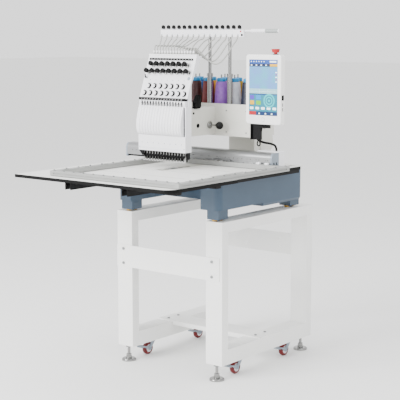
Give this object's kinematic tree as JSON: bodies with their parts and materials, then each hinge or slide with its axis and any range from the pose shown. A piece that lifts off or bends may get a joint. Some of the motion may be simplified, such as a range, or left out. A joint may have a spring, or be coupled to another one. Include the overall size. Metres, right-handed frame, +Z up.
{
  "type": "embroidery machine",
  "caption": "Single-head multi-needle embroidery machine with pantograph table, thread stand and touch panel on a wheeled tube-steel stand.",
  "frame": {"origin": "on the floor, under the middle of the whole machine", "axes": "+X to the machine right as its user sees it, +Y to its back, +Z up; the user stands on the -Y side"},
  "size_m": [0.868, 1.107, 1.396],
  "materials": {
    "stand_white": "powder coat",
    "zinc_steel": "zinc plated",
    "base_blue": "satin enamel",
    "table_laminate": "satin laminate",
    "black_metal": "black finish",
    "black_plastic": "moulded",
    "arm_beige": "satin enamel",
    "polished_steel": "polished",
    "beam_aluminium": "anodised",
    "grey_metal": "satin",
    "cover_white": "moulded gloss",
    "core_cyan": "moulded",
    "thread": "wound thread",
    "tube_clear": "translucent",
    "tablet_white": "moulded gloss",
    "screen_glass": "display glass",
    "red_plastic": "moulded gloss",
    "red_rubber": "cast polyurethane"
  },
  "bodies": {
    "machine": {"base_casting": "base_blue", "bed_arm": "arm_beige", "bobbin_case": "polished_steel", "castor_plates": "zinc_steel", "column_casting": "arm_beige", "cone_cores": "core_cyan", "cone_threads": "thread", "cross_box": "arm_beige", "fasteners": "zinc_steel", "needle_case_rail": "polished_steel", "needle_plate": "polished_steel", "stand_cross_channel": "stand_white", "stand_cross_plates": "stand_white", "stand_side_frame_left": "stand_white", "stand_side_frame_right": "stand_white", "table_edge_band": "black_plastic", "table_panels": "table_laminate", "table_supports": "black_metal", "tablet_bracket": "black_metal", "thread_guides": "black_plastic", "thread_stand_posts": "polished_steel", "thread_stand_rail": "cover_white", "thread_stand_sleeves": "grey_metal", "upper_arm": "arm_beige", "y_rails": "black_metal"},
    "foot_front_left": {"levelling_foot_front_left": "polished_steel"},
    "castor_front_left": {"castor_fork_front_left": "grey_metal"},
    "wheel_front_left": {"castor_wheel_front_left": "red_rubber"},
    "foot_front_right": {"levelling_foot_front_right": "polished_steel"},
    "castor_front_right": {"castor_fork_front_right": "grey_metal"},
    "wheel_front_right": {"castor_wheel_front_right": "red_rubber"},
    "foot_rear_left": {"levelling_foot_rear_left": "polished_steel"},
    "castor_rear_left": {"castor_fork_rear_left": "grey_metal"},
    "wheel_rear_left": {"castor_wheel_rear_left": "red_rubber"},
    "foot_rear_right": {"levelling_foot_rear_right": "polished_steel"},
    "castor_rear_right": {"castor_fork_rear_right": "grey_metal"},
    "wheel_rear_right": {"castor_wheel_rear_right": "red_rubber"},
    "beam": {"x_beam": "beam_aluminium", "beam_drive": "grey_metal", "x_motor_cover": "cover_white"},
    "pantograph": {"x_carriage": "beam_aluminium", "pantograph_frame": "beam_aluminium"},
    "hook": {"rotary_hook": "polished_steel"},
    "main_shaft": {"main_shaft_knob": "black_plastic"},
    "needle_case": {"needle_case_body": "cover_white", "take_up_cover": "cover_white", "tension_board": "cover_white", "tension_knobs": "black_plastic", "check_spring_rings": "polished_steel", "thread_guide_strips": "black_metal", "needle_bars": "polished_steel", "presser_feet": "polished_steel", "thread_tubes": "tube_clear"},
    "needle_bar": {"active_needle_bar": "polished_steel"},
    "presser_foot": {"active_presser_foot": "polished_steel"},
    "tablet": {"tablet_housing": "tablet_white", "tablet_fittings": "black_plastic", "tablet_screen": "screen_glass"},
    "home_button": {"home_button": "tablet_white"},
    "emergency_stop": {"emergency_stop": "red_plastic"}
  },
  "joints": [
    {"name": "foot_front_left_screw", "type": "slide", "parent": "machine", "child": "foot_front_left", "axis": [0, 0, 1], "range_m": [-0.02, 0.02]},
    {"name": "castor_front_left_swivel", "type": "hinge", "parent": "machine", "child": "castor_front_left", "pos_m": [-0.208, 0.0755, 0.058], "axis": [0, 0, 1], "continuous": true},
    {"name": "wheel_front_left_spin", "type": "hinge", "parent": "castor_front_left", "child": "wheel_front_left", "pos_m": [-0.208, 0.0535, 0.027], "axis": [1, 0, 0], "continuous": true},
    {"name": "foot_front_right_screw", "type": "slide", "parent": "machine", "child": "foot_front_right", "axis": [0, 0, 1], "range_m": [-0.02, 0.02]},
    {"name": "castor_front_right_swivel", "type": "hinge", "parent": "machine", "child": "castor_front_right", "pos_m": [0.26, 0.0755, 0.058], "axis": [0, 0, 1], "continuous": true},
    {"name": "wheel_front_right_spin", "type": "hinge", "parent": "castor_front_right", "child": "wheel_front_right", "pos_m": [0.26, 0.0535, 0.027], "axis": [1, 0, 0], "continuous": true},
    {"name": "foot_rear_left_screw", "type": "slide", "parent": "machine", "child": "foot_rear_left", "axis": [0, 0, 1], "range_m": [-0.02, 0.02]},
    {"name": "castor_rear_left_swivel", "type": "hinge", "parent": "machine", "child": "castor_rear_left", "pos_m": [-0.208, 0.4205, 0.058], "axis": [0, 0, 1], "continuous": true},
    {"name": "wheel_rear_left_spin", "type": "hinge", "parent": "castor_rear_left", "child": "wheel_rear_left", "pos_m": [-0.208, 0.3985, 0.027], "axis": [1, 0, 0], "continuous": true},
    {"name": "foot_rear_right_screw", "type": "slide", "parent": "machine", "child": "foot_rear_right", "axis": [0, 0, 1], "range_m": [-0.02, 0.02]},
    {"name": "castor_rear_right_swivel", "type": "hinge", "parent": "machine", "child": "castor_rear_right", "pos_m": [0.26, 0.4205, 0.058], "axis": [0, 0, 1], "continuous": true},
    {"name": "wheel_rear_right_spin", "type": "hinge", "parent": "castor_rear_right", "child": "wheel_rear_right", "pos_m": [0.26, 0.3985, 0.027], "axis": [1, 0, 0], "continuous": true},
    {"name": "beam_y", "type": "slide", "parent": "machine", "child": "beam", "axis": [0, 1, 0], "range_m": [-0.165, 0.12]},
    {"name": "pantograph_x", "type": "slide", "parent": "beam", "child": "pantograph", "axis": [1, 0, 0], "range_m": [-0.15, 0.15]},
    {"name": "main_shaft_turn", "type": "hinge", "parent": "machine", "child": "main_shaft", "pos_m": [0.063, 0.1345, 0.992], "axis": [1, 0, 0], "continuous": true},
    {"name": "hook_turn", "type": "hinge", "parent": "machine", "child": "hook", "pos_m": [0.003, -0.0195, 0.793], "axis": [0, 1, 0], "continuous": true},
    {"name": "colour_change", "type": "slide", "parent": "machine", "child": "needle_case", "axis": [1, 0, 0], "range_m": [-0.0592, 0.148]},
    {"name": "needle_stroke", "type": "slide", "parent": "needle_case", "child": "needle_bar", "axis": [0, 0, 1], "range_m": [-0.0238, 0]},
    {"name": "presser_stroke", "type": "slide", "parent": "needle_case", "child": "presser_foot", "axis": [0, 0, 1], "range_m": [-0.0235, 0]},
    {"name": "tablet_tilt", "type": "hinge", "parent": "machine", "child": "tablet", "pos_m": [0.307, 0.1625, 1.048], "axis": [1, 0, 0], "range_deg": [-15, 20]},
    {"name": "home_button_press", "type": "slide", "parent": "tablet", "child": "home_button", "axis": [0, 1, 0], "range_m": [0, 0.0012], "stiffness_N_per_m": 300},
    {"name": "emergency_stop_press", "type": "slide", "parent": "tablet", "child": "emergency_stop", "axis": [0, 0, -1], "range_m": [0, 0.004], "stiffness_N_per_m": 600}
  ],
  "couplings": [
    {"joint": "hook_turn", "follows": "main_shaft_turn", "ratio": 2},
    {"joint": "presser_stroke", "follows": "needle_stroke", "ratio": 0.97}
  ]
}
